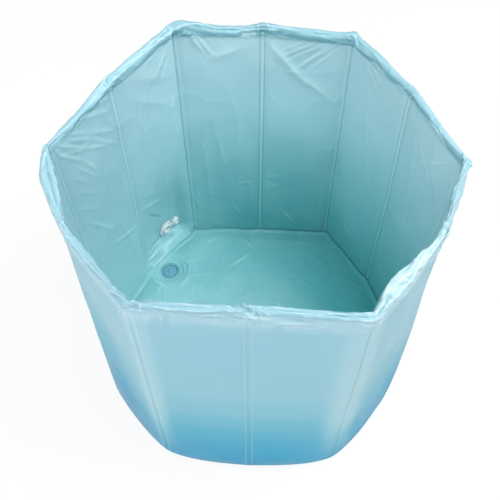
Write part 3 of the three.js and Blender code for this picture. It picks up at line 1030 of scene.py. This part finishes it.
# Folds laid on the roll: t and share round the roll at both ends, then width and rise in millimetres
# The share goes from 0 at the lower outer edge over 0.5 on top to 1 at the inner edge
hemFolds = (
    (8.06, 0.53, 8.85, 0.51, 3.4, -2), (8.25, 0.43, 8.97, 0.42, 3, 1.2), (8.02, 0.4, 8.42, 0.31, 1.6, -1.6),
    (8.42, 0.31, 8.9, 0.2, 1.6, -1.4), (8.86, 0.64, 8.93, 0.36, 2.2, -2.2),
    (8.94, 0.6, 9.02, 0.44, 2.6, 2.2), (8.9, 0.36, 8.99, 0.14, 2.2, -1.6), (9.03, 0.5, 9.1, 0.2, 2.2, -1.4),
    (9.05, 0.61, 9.98, 0.61, 2, 1.6), (9.08, 0.55, 9.55, 0.52, 2.4, -1.8),
    (9.5, 0.52, 9.98, 0.47, 2.6, -2.6), (9.3, 0.3, 9.7, 0.24, 3, -1.2),
    (10.02, 0.46, 10.27, 0.56, 2.2, -2.6), (10.05, 0.62, 10.95, 0.62, 2, 1.4),
    (10.2, 0.6, 10.26, 0.44, 2.2, -2.2), (10.26, 0.44, 10.22, 0.3, 2.2, -1.8),
    (10.3, 0.24, 10.78, 0.16, 2.2, -1.8), (10.34, 0.2, 10.7, 0.3, 2, 1.4),
    (10.44, 0.56, 10.5, 0.3, 2.4, 1.8), (10.56, 0.46, 10.66, 0.36, 2.6, -2.8),
    (10.66, 0.36, 10.62, 0.24, 2.2, -1.8), (10.7, 0.54, 10.8, 0.36, 2.2, 2),
    (10.78, 0.46, 10.88, 0.46, 2, -1.2), (11.05, 0.52, 11.95, 0.5, 2.2, -2),
    (11.1, 0.6, 11.6, 0.58, 1.8, 1.4), (6.04, 0.56, 6.9, 0.57, 2.2, -2.2), (6.02, 0.66, 6.8, 0.64, 2.4, 1.4),
    (6.2, 0.4, 6.4, 0.26, 2, -1.8), (6.34, 0.5, 6.7, 0.36, 2.4, 1.4), (5.84, 0.44, 5.99, 0.62, 2.2, -2.8),
    (6, 0.62, 6.06, 0.84, 2.2, -2.4), (7.1, 0.52, 7.9, 0.55, 2.2, -1.8), (7.04, 0.4, 7.6, 0.28, 2, -1.4),
    (2.1, 0.6, 2.92, 0.66, 2.2, -1.6), (3.1, 0.66, 3.9, 0.6, 2.2, -1.8), (3.6, 0.5, 3.96, 0.66, 2.4, 1.8),
    (4.08, 0.62, 4.9, 0.58, 2.2, -1.8),
)


def fromKnots(kind, t):
    return np.interp(np.mod(t, 12), *zip(*hemLook[kind])) / 1000


def bySide(values, t):
    # eased from one side to the next over the corner between them
    table = np.array(values)
    side = np.floor(t / 2).astype(int)
    across = t - 2 * np.round(t / 2)
    here = table[side % 6]
    other = table[(side + np.where(across < 0, 1, -1)) % 6]
    share = 0.5 + 0.5 * smooth(np.abs(across), 0, 0.15)
    return here * share + other * (1 - share)


def hemSections(t):
    full = 1 - np.abs(2 * (t - np.floor(t)) - 1) ** 3
    wobble = aroundNoise(t, 0.0, 0.05, 1.0, hemLook["seed"])
    wobbleLong = aroundNoise(t, 0.0, 0.11, 1.0, hemLook["seed"] + 1)
    outward, inward, rise, drop = (fromKnots(kind, t) for kind in ("outward", "inward", "rise", "drop"))
    drop = drop + 0.0035 * wobble
    outer = tub["rimOuter"] - 0.0030 * (1 - full) + outward + 0.0010 * wobbleLong
    inner = tub["rimInner"] + 0.0015 * (1 - full) - inward
    mid = (outer + inner) / 2
    level = tub["height"] - hemLook["sag"] * full + 0.0026 * wobbleLong
    top = level + rise
    face, liner = tub["wallFace"], tub["linerFace"]
    section = [
        (face - 0.001, level - 0.036 - drop),
        (face + 0.0012, level - 0.0368 - drop),
        (outer - 0.0026 - 0.6 * outward, level - 0.031 - drop * 0.9),
        (outer + 0.0002, level - 0.021 - drop * 0.5),
        (outer - 0.0016, level - 0.012 + 0.4 * rise),
        (outer - 0.0006, top - 0.007),
        (outer - 0.0042, top - 0.0016),
        (mid, top),
        (inner + 0.0038, top - 0.0014 - 0.3 * rise),
        (inner, level - 0.0065 + 0.3 * rise - 0.2 * inward),
        (inner + 0.0004, level - 0.0135 - 0.2 * inward),
        (inner + 0.0024, level - 0.0185),
        (liner + 0.001, level - 0.0180),
    ]
    return [(np.broadcast_to(a, t.shape), np.broadcast_to(h, t.shape)) for a, h in section]


def roundedLoop(section, perSpan):
    # an even curve through the points of the closed section, as (rows, 2, columns)
    points = np.array(section)[:, None]
    u = np.arange(perSpan)[:, None, None] / perSpan
    weights = (
        2 * u ** 2 - u - u ** 3, 2 - 5 * u ** 2 + 3 * u ** 3, u + 4 * u ** 2 - 3 * u ** 3, u ** 3 - u ** 2,
    )
    loop = sum(weight * np.roll(points, 1 - n, axis=0) for n, weight in enumerate(weights)) / 2
    return loop.reshape(-1, *points.shape[2:])


def wrapped(grid):
    return np.concatenate([grid[-1:], grid, grid[:1]])


def hemGrid(tValues):
    t = stretched(tValues)
    loop = roundedLoop(hemSections(t), hemLook["perSpan"])
    reach, height = loop[:, 0], loop[:, 1]
    tGrid = np.broadcast_to(t, reach.shape)
    position = ringWithNormal(tGrid, rimReachAt(tub["rimOuter"] - reach), 0.0, hemLook["window"])[0]
    height = height + liftAt(tGrid)
    points = np.concatenate([position, height[..., None]], -1)
    first = gridNormals(wrapped(points))
    points = points[:, 1:-1]
    tGrid, height = tGrid[:, 1:-1], height[:, 1:-1]
    girth = np.cumsum(np.linalg.norm(np.diff(points, axis=0, prepend=points[-1:]), axis=-1), axis=0)
    seed = hemLook["seed"]
    seamNear = np.exp(-halfSide * np.abs(tGrid - np.round(tGrid)) / 0.022)
    seamNear = seamNear * (1 - np.exp(-((tGrid - openSeam) / 0.12) ** 2))
    amount = bySide(hemLook["crumple"], tGrid) * (1 + 1.2 * seamNear)
    longFold = foldNoise(tGrid, girth, 0.085, 0.011, seed + 2)
    shortFold = foldNoise(tGrid, girth, 0.020, 0.014, seed + 3)
    slantFold = foldNoise(tGrid, girth + 0.35 * halfSide * tGrid, 0.05, 0.016, seed + 5)
    blob = aroundNoise(tGrid, girth, 0.045, 0.020, seed + 4)
    relief = 0.9 * longFold ** 4 + 0.9 * shortFold ** 4 * (0.22 + 0.78 * seamNear) + 0.6 * slantFold ** 5
    relief = amount * (relief + 1.1 * blob - 0.9)
    # a groove that runs along the outer face where the vinyl is folded over itself
    fromTop = tub["height"] + liftAt(tGrid) - height
    wander = 0.013 + 0.005 * aroundNoise(tGrid, 0.0, 0.11, 1.0, seed + 6)
    outside = smooth(reach[:, 1:-1], tub["rimOuter"] - 0.008, tub["rimOuter"] - 0.002)
    strength = 0.5 + 0.5 * aroundNoise(tGrid, 0.0, 0.08, 1.0, seed + 7)
    relief = relief - 0.0022 * strength * outside * np.exp(-((fromTop - wander) / 0.0022) ** 2)
    share = np.broadcast_to(np.linspace(0, 1, len(tGrid), endpoint=False)[:, None], tGrid.shape)
    girthOfRoll = hemLook["girth"]
    laid = laidCreases(hemFolds, lambda t, s: (t * halfSide, s * girthOfRoll))
    relief = relief + creaseField(np.mod(tGrid, 12) * halfSide, share * girthOfRoll, laid)
    shown = smooth(height - liftAt(tGrid), tub["height"] - 0.052, tub["height"] - 0.036)
    shown = shown * (1 - 0.8 * np.exp(-((tGrid - 11) / 0.06) ** 2) * (1 - smooth(share, 0.1, 0.4)))
    return points, first, relief * shown, tGrid, share


def hemPiece(name, tStart, tEnd):
    cols = stretched(spread(tStart, tEnd, hemLook["step"], hemLook["fineStep"], 0.02))
    points, first, relief, tGrid, share = hemGrid(cols)
    sign = 1 if (first * (points - points.mean(0))).sum() > 0 else -1
    moved = points + first * sign * relief[..., None]
    normals = gridNormals(wrapped(moved)) * sign
    crease = standOut(relief, 3, hemLook["creaseScale"])
    places = np.stack([tGrid, share, crease], -1)[:, 1:-1]
    return rollPiece(name, moved[:, 1:-1], normals, places, materials["hem"])


def hemSurface(t, z):
    position, outward = ringWithNormal(t, rimReachAt(tub["hemLeg"]), 0.0, hemLook["window"])
    return inPlace(t, position, outward, np.zeros(t.shape), z)


def makeHems():
    joint = hemLook["joint"]
    for panel in range(1, 13):
        label = panelName(panel)
        hem = hemPiece(f"{label}_hem_roll", *panelEnds(panel, joint, joint))
        settle(hem, bodyOfPanel[panel], "rim_pvc", f"{label}_rim_hem")
        flattens(hem)
    for whole in range(12):
        if whole not in rigidSeams:
            roll = hemPiece(f"hem_joint_{whole:02d}", whole - joint, whole + joint)
            bendOver(roll, whole, joint, hemSurface)


makeHems()
print("rim hem made")


# Floor: a padded slab in twelve wedges, so that it can draw in to the walls when the tub folds
floorLook = {
    "edge": 0.0165,
    "valley": 0.0140,
    "puff": 0.0185,
    "step": 0.0028,
    "rowLength": 0.34,           # the rows of a wedge are counted over this length
    "creaseScale": 0.0010,
    "reach": 0.323,
    "split": 0.240,          # the root side's wedges part here, so that the drain stays put
    "seed": 71,
    "keep": 0.04,
}
drainLow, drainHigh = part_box("drain_ring")
drainPlace = np.array([(drainLow.x + drainHigh.x) / 2, (drainLow.y + drainHigh.y) / 2])
drainReach = (drainHigh.x - drainLow.x) / 2

# Creases of the floor sheet: two pixels of the photograph, then width and rise in millimetres
floorCreases = (
    (206, 243, 217, 237, 3, 2.2), (228, 268, 250, 253, 3, 2.6), (244, 239, 254, 248, 3, 1.8),
    (194, 281, 191, 296, 2.2, 1.2), (191, 296, 196, 303, 2.2, 1), (224, 286, 209, 303, 2.2, 1),
    (226, 286, 248, 302, 3, 1.6), (297, 279, 311, 287, 3, 1.8), (276, 302, 281, 307, 3, 2.4),
    (257, 238, 257, 300, 3, 1.4), (262, 238, 262, 300, 3, 1.4), (311, 251, 282, 297, 4, 1.4),
    (212, 260, 228, 286, 4, 1.6), (188, 275, 216, 274, 4, 1.4), (154, 262, 192, 233, 4, 3.4),
    (158, 266, 188, 244, 4, 2.8), (162, 254, 178, 240, 4, 2.8), (156, 296, 162, 285, 2.2, 1.4),
    (166, 250, 184, 236, 3, 2.6), (160, 270, 182, 252, 3, 2.2), (154, 272, 160, 266, 3, 1.8),
    (186, 262, 206, 256, 4, 1.4), (180, 252, 200, 240, 4, 2), (178, 290, 190, 276, 3, 1.6),
    (250, 237, 320, 243, 5, 1.4), (196, 238, 246, 236, 5, 1.6), (300, 262, 322, 276, 6, 1),
    (236, 300, 262, 290, 4, 1.2),
)
laidFloorCreases = laidCreases(floorCreases, onFloor)


def floorHeight(x, y, fromWall):
    seed = floorLook["seed"]
    spot = np.stack([x, y, np.zeros(np.shape(x))], -1)
    rise = floorLook["puff"] + 0.0022 * placeNoise(spot, 0.11, seed)
    rise = rise + 0.0008 * placeNoise(spot, 0.04, seed + 1)
    warp = np.stack([x + 0.03 * placeNoise(spot, 0.07, seed + 2), y + 0.03 * placeNoise(spot, 0.07, seed + 3),
                     np.zeros(np.shape(x))], -1)
    fold = 1 - np.abs(placeNoise(warp, 0.10, seed + 4))
    leftShare = smooth(-x, -0.05, 0.25)
    edgeShare = 1 - smooth(fromWall, 0.02, 0.12)
    rise = rise + (0.0008 + 0.0004 * leftShare + 0.0008 * edgeShare) * fold ** 14
    rise = rise + creaseField(x, y, laidFloorCreases)
    valley = floorLook["valley"] + 0.0015 * placeNoise(spot, 0.05, seed + 5)
    cove = smooth(fromWall, 0.012, 0.050)
    band = (floorLook["edge"] - valley) * (1 - smooth(fromWall, 0.004, 0.016))
    surface = valley + band + (rise - valley) * cove
    away = np.hypot(x - drainPlace[0], y - drainPlace[1])
    level = tub["floorTop"] - 0.0007
    surface = level + (surface - level) * smooth(away, drainReach + 0.001, drainReach + 0.030)
    # arcs of the sheet gathered round the drain
    away = away - drainReach
    arcs = np.exp(-((away - 0.012) / 0.0022) ** 2) + 0.7 * np.exp(-((away - 0.024) / 0.0024) ** 2)
    surface = surface + 0.0016 * arcs * (0.5 + 0.5 * placeNoise(spot, 0.035, seed + 6))
    pit = 1 - smooth(away + drainReach, 0.0150, 0.0195)
    return surface * (1 - pit) + 0.0010 * pit


def floorEdge(t):
    edge = innerSurface(t, np.full(np.shape(t), floorLook["edge"]))[..., :2]
    return edge * (1 + 0.0012 / np.linalg.norm(edge, axis=-1, keepdims=True))


def floorSurface(edge, share):
    spot = edge * share[..., None]
    fromWall = (1 - share) * np.linalg.norm(edge, axis=-1)
    height = floorHeight(spot[..., 0], spot[..., 1], fromWall)
    return np.concatenate([spot, height[..., None]], -1)


def baseEdge(t):
    return outerSurface(t, np.zeros(np.shape(t)))[..., :2]


def floorWedge(name, panel, shareRange):
    step = floorLook["step"]
    cols = np.linspace(panel - 1, panel, round(halfSide / step) + 1)
    rows = round((shareRange[1] - shareRange[0]) * floorLook["rowLength"] / step) + 1
    span = np.linspace(*shareRange, rows)
    fan = shareRange[0] == 0
    tGrid, shareGrid = np.meshgrid(stretched(cols), stretched(span))
    edge = np.broadcast_to(floorEdge(stretched(cols)), (*tGrid.shape, 2))
    points = floorSurface(edge, shareGrid)
    front, normals = points[1:-1, 1:-1], gridNormals(points)
    normals *= np.where(normals[..., 2:3] < 0, -1, 1)
    crease = standOut(points[..., 2], 4, floorLook["creaseScale"]) * smooth(1 - shareGrid, 0.0, 0.06)
    places = np.stack([tGrid, shareGrid, crease], -1)[1:-1, 1:-1]
    back = np.zeros(front.shape)
    back[..., :2] = baseEdge(cols) * places[..., 1:2]
    if fan:
        normals[0] = (0, 0, 1)
    return shellPiece(name, front, normals, back, places, [materials["floor"], materials["base"]], fan)


def makeFloor():
    split = floorLook["split"] / floorLook["reach"]
    for panel in range(1, 13):
        label, body = panelName(panel), bodyOfPanel[panel]
        rooted = body == "tub_floor"
        inner = floorWedge(f"{label}_floor", panel, (0, split if rooted else 1))
        pieces = [inner]
        if rooted:
            pieces.append(floorWedge(f"{label}_floor_edge", panel, (split, 1)))
        for piece in pieces:
            settle(piece, body, "floor_pvc", "floor_sheet", "floor_pad", "base_sheet")
        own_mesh(inner)


makeFloor()
print("floor made")


# Fittings: closed belts of closed sections
def sweptPiece(name, rings, place, axes, material, degrees):
    count, cols = rings.shape[:2]
    index = np.pad(np.arange(count * cols).reshape(count, cols), (0, 1), mode="wrap")
    mesh = bpy.data.meshes.new(name)
    points = rings.reshape(-1, 3) @ np.array(axes) + np.array(place)
    mesh.from_pydata(points.tolist(), [], quadsOf(index).tolist())
    # points on the axis lie together and become one
    work = bmesh.new()
    work.from_mesh(mesh)
    bmesh.ops.remove_doubles(work, verts=work.verts, dist=1e-7)
    bmesh.ops.delete(work, geom=[edge for edge in work.edges if not edge.link_faces], context="EDGES")
    bmesh.ops.recalc_face_normals(work, faces=work.faces)
    work.to_mesh(mesh)
    work.free()
    mesh.materials.append(material)
    mesh.polygons.foreach_set("use_smooth", [True] * len(mesh.polygons))
    mesh.set_sharp_from_angle(angle=math.radians(degrees))
    return addObject(name, mesh)


def softenedProfile(profile, size=0.0004):
    # every corner off the axis is cut by two points close to it
    loop = []
    for n, here in enumerate(profile):
        if here[0] < 1e-7:
            loop.append(here)
            continue
        for other in (profile[n - 1], profile[(n + 1) % len(profile)]):
            share = min(size / math.dist(here, other), 0.4)
            loop.append([a + (b - a) * share for a, b in zip(here, other)])
    return loop


def turnedPiece(name, profile, segments, place, axes, material):
    # profile is a closed loop of (radius, height)
    radius, height = np.array(softenedProfile(profile)).T
    turns = np.linspace(0, 2 * math.pi, segments, endpoint=False)[:, None]
    rings = np.stack([radius * np.cos(turns), radius * np.sin(turns), height + 0 * turns], -1)
    return sweptPiece(name, rings, place, axes, material, 35)


drainLook = {
    "flange": drainReach,
    "bore": 0.014,
    "barrel": 0.018,
    "recess": 0.0173,
    "foot": 0.0006,
    "top": tub["floorTop"] + 0.0012,
    "ledge": 0.0099,
    "flangeEdge": 0.0105,
}
plugLook = {
    "lip": 0.0168,
    "stem": 0.0137,
    "bottom": 0.0052,
    "lipBottom": 0.0102,
    "lipTop": 0.0122,
    "knob": 0.0062,
    "knobTop": 0.0142,
}


def makeDrain():
    d, p = drainLook, plugLook
    centre = (*drainPlace, 0)
    ring = turnedPiece("drain_flange", [
        (d["bore"], d["foot"]), (d["barrel"], d["foot"]), (d["barrel"], d["flangeEdge"] - 0.002),
        (d["flange"], d["flangeEdge"]), (d["flange"], d["flangeEdge"] + 0.0013),
        (d["flange"] - 0.002, d["top"] - 0.0004), (d["flange"] - 0.004, d["top"]),
        (d["recess"] + 0.0012, d["top"]), (d["recess"], d["top"] - 0.001), (d["recess"], d["ledge"]),
        (d["bore"], d["ledge"]),
    ], 96, centre, np.eye(3), materials["drain"])
    settle(ring, "tub_floor", "drain_plastic", "drain_ring", "drain_washer")
    plug = turnedPiece("drain_stopper", [
        (0, p["bottom"]), (p["stem"] - 0.001, p["bottom"]), (p["stem"], p["bottom"] + 0.001),
        (p["stem"], p["lipBottom"]), (p["lip"], p["lipBottom"]), (p["lip"], p["lipTop"] - 0.0006),
        (p["lip"] - 0.0008, p["lipTop"]), (p["knob"] + 0.005, p["lipTop"] - 0.0006),
        (p["knob"] + 0.0012, p["lipTop"] - 0.0004), (p["knob"], p["lipTop"] + 0.0006),
        (p["knob"] - 0.0006, p["knobTop"] - 0.0008), (p["knob"] - 0.002, p["knobTop"]),
        (0, p["knobTop"] + 0.0003),
    ], 96, centre, np.eye(3), materials["plug"])
    settle(plug, "plug", "plug_plastic", "drain_plug")


# Outlet axes: local z into the tub, local x along the wall towards the back, tilted a little down
outletIn = -outletOut
outletFlat = np.cross(outletOut, (0, 0, 1))
outletAlong = outletFlat * math.cos(wallOutlet["tilt"]) - np.array([0, 0, math.sin(wallOutlet["tilt"])])
outletUp = np.cross(outletIn, outletAlong)
outletAxes = (outletAlong, outletUp, outletIn)

outletLook = {
    "flange": 0.0225,
    "neck": 0.013,
    "bore": 0.010,
    "barrel": 0.0126,
    "inner": 0.0090,
    "outer": -0.0139,
    "capPlace": wallOutlet["cap"][0],
    "cap": 0.016,
    "hole": 0.0129,
    "seal": 0.021,
    "nut": 0.020,
    "nutCorner": 0.0196,
    "nutSpan": (-0.0119, -0.0069),
    "strapSpan": (0.0038, 0.0050),
    "strapInner": 0.0133,
    "strapOuter": 0.0158,
    "strapEnd": 0.027,
    "strapHalf": 0.0025,
    "strapBends": (0.0165, 0.0238),
}


def placedAt(local):
    return tuple(outletPlace + np.array(local) @ np.array(outletAxes))


def collarPiece(name, outline, hole, span):
    low, high = span
    levels = ((outline, low), (hole, low), (hole, high), (outline, high))
    rings = np.stack([np.insert(line, 2, height, axis=1) for line, height in levels], 1)
    return sweptPiece(name, rings, outletPlace, outletAxes, materials["fitting"], 30)


def unitRing(count):
    turns = np.linspace(0, 2 * math.pi, count, endpoint=False)
    return turns, np.stack([np.cos(turns), np.sin(turns)], 1)


def nutPiece():
    o, sixth = outletLook, math.pi / 6
    turns, ring = unitRing(72)
    fromCorner = np.abs((turns + sixth) % (2 * sixth) - sixth)
    reach = np.minimum(o["nut"] * math.cos(sixth) / np.cos(fromCorner - sixth), o["nutCorner"])
    return collarPiece("outlet_locknut", ring * reach[:, None], ring * o["hole"], o["nutSpan"])


def strapPiece():
    o = outletLook
    turns, ring = unitRing(96)
    half, wide = o["strapHalf"], math.asin(o["strapHalf"] / o["strapOuter"])
    signed = (turns + math.pi) % (2 * math.pi) - math.pi
    across = half * np.clip(signed / wide, -1, 1)
    root = o["strapOuter"] * math.cos(wide)
    tip = o["strapEnd"] - 0.0012 * np.abs(across / half) ** 3
    share = np.clip((wide * 1.6 - np.abs(signed)) / (wide * 0.6), 0, 1)
    arm = np.stack([root + (tip - root) * share, across], 1)
    outline = np.where((np.abs(signed) < wide * 1.6)[:, None], arm, ring * o["strapOuter"])
    return collarPiece("outlet_strap", outline, ring * o["strapInner"], o["strapSpan"])


def makeOutlet():
    o = outletLook
    body = turnedPiece("outlet_spout", [
        (o["bore"], o["outer"]), (o["barrel"], o["outer"]), (o["barrel"], 0.0016), (o["flange"], 0.0016),
        (o["flange"], 0.0026), (o["flange"] - 0.0012, 0.0034), (o["neck"] + 0.0008, 0.0038),
        (o["neck"], 0.0048), (o["neck"], o["inner"] - 0.0006), (o["neck"] - 0.0006, o["inner"]),
        (o["bore"] + 0.0005, o["inner"]), (o["bore"], o["inner"] - 0.0005),
    ], 72, outletPlace, outletAxes, materials["fitting"])
    gasket = turnedPiece("outlet_seal", [
        (o["hole"], 0.0003), (o["seal"], 0.0003), (o["seal"], 0.0013), (o["hole"], 0.0013),
    ], 72, outletPlace, outletAxes, materials["rubber"])
    settle(body, "tub_floor", "outlet_plastic", "outlet_body")
    settle(gasket, "tub_floor", "rubber_seal", "outlet_gasket")
    settle(nutPiece(), "tub_floor", "outlet_plastic", "outlet_nut")
    cap = turnedPiece("outlet_stopper", [
        (0, 0.0003), (o["cap"] - 0.001, 0.0003), (o["cap"], 0.0010), (o["cap"], 0.0027),
        (o["cap"] - 0.0008, 0.0033), (0.0102, 0.0033), (0.0094, 0.0039), (0.0092, 0.0068), (0.0086, 0.0073),
        (0.0070, 0.0073), (0.0066, 0.0040), (0, 0.0038),
    ], 72, placedAt((o["capPlace"], 0, 0)), outletAxes, materials["fitting"])
    settle(cap, "cap", "outlet_plastic", "outlet_cap")
    strap = strapPiece()
    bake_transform(strap)
    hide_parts("outlet_tether")


makeDrain()
makeOutlet()
print("drain and outlet made")


# Stage and light
stageLook = {
    "floorSize": 12.0,
    "floorColour": (0.90, 0.90, 0.90),
    "shadowShare": 0.14,      # how much of the object's shadow shows on the white floor
    "worldStrength": 0.46,
}
lampLook = (
    # name, power, size, place, aim
    ("overhead", 8.0, 2.6, (0.1, 0.1, 2.9), (0, 0, 0.3)),
    ("key", 62.0, 1.2, (1.25, 0.05, 2.85), (0, 0, 0.3)),
    ("front", 38.0, 1.8, (-0.3, -2.5, 2.3), (0, 0, 0.4)),
    ("fill", 18.0, 1.6, (-1.9, -0.7, 2.2), (0, 0, 0.4)),
)


def makeStage():
    size = stageLook["floorSize"]
    mesh = bpy.data.meshes.new("studio_floor")
    corners = [(-size, -size, 0), (size, -size, 0), (size, size, 0), (-size, size, 0)]
    mesh.from_pydata(corners, [], [(0, 1, 2, 3)])
    finish = Finish("studio_white")
    finish.colour = (*stageLook["floorColour"], 1)
    mesh.materials.append(finish.done(Roughness=0.9))
    shaded = finish.shader.outputs[0]
    glow = finish.add("ShaderNodeEmission").outputs[0]
    path = finish.add("ShaderNodeLightPath").outputs
    seen = finish.maths("MAXIMUM", path["Is Camera Ray"], path["Is Glossy Ray"])
    seen = finish.maths("MAXIMUM", seen, path["Is Transmission Ray"])
    white = finish.either(shaded, glow, 1 - stageLook["shadowShare"])
    finish.feed(finish.nodes["Material Output"].inputs["Surface"], finish.either(shaded, white, seen))
    addObject("studio_floor", mesh)


def makeWorld():
    world = bpy.data.worlds.new("studio")
    bpy.context.scene.world = world
    world.use_nodes = True
    sky = Nodes(world.node_tree)
    path = sky.add("ShaderNodeLightPath").outputs
    seen = sky.maths("MAXIMUM", path["Is Camera Ray"], path["Is Transmission Ray"])
    strength = sky.step(seen, 0.0, 1.0, stageLook["worldStrength"], 1.0)
    sky.fill(sky.nodes["Background"], Color=(1, 1, 1, 1), Strength=strength)


def softLamp(name, power, size, place, aim):
    data = bpy.data.lights.new(name, "AREA")
    data.energy = power
    data.size = size
    lamp = addObject(name, data)
    lamp.location = place
    lamp.rotation_euler = (Vector(aim) - Vector(place)).to_track_quat("-Z", "Y").to_euler()


makeStage()
makeWorld()
for lamp in lampLook:
    softLamp(*lamp)
bpy.context.scene.view_settings.view_transform = "Standard"
print("stage and light made")
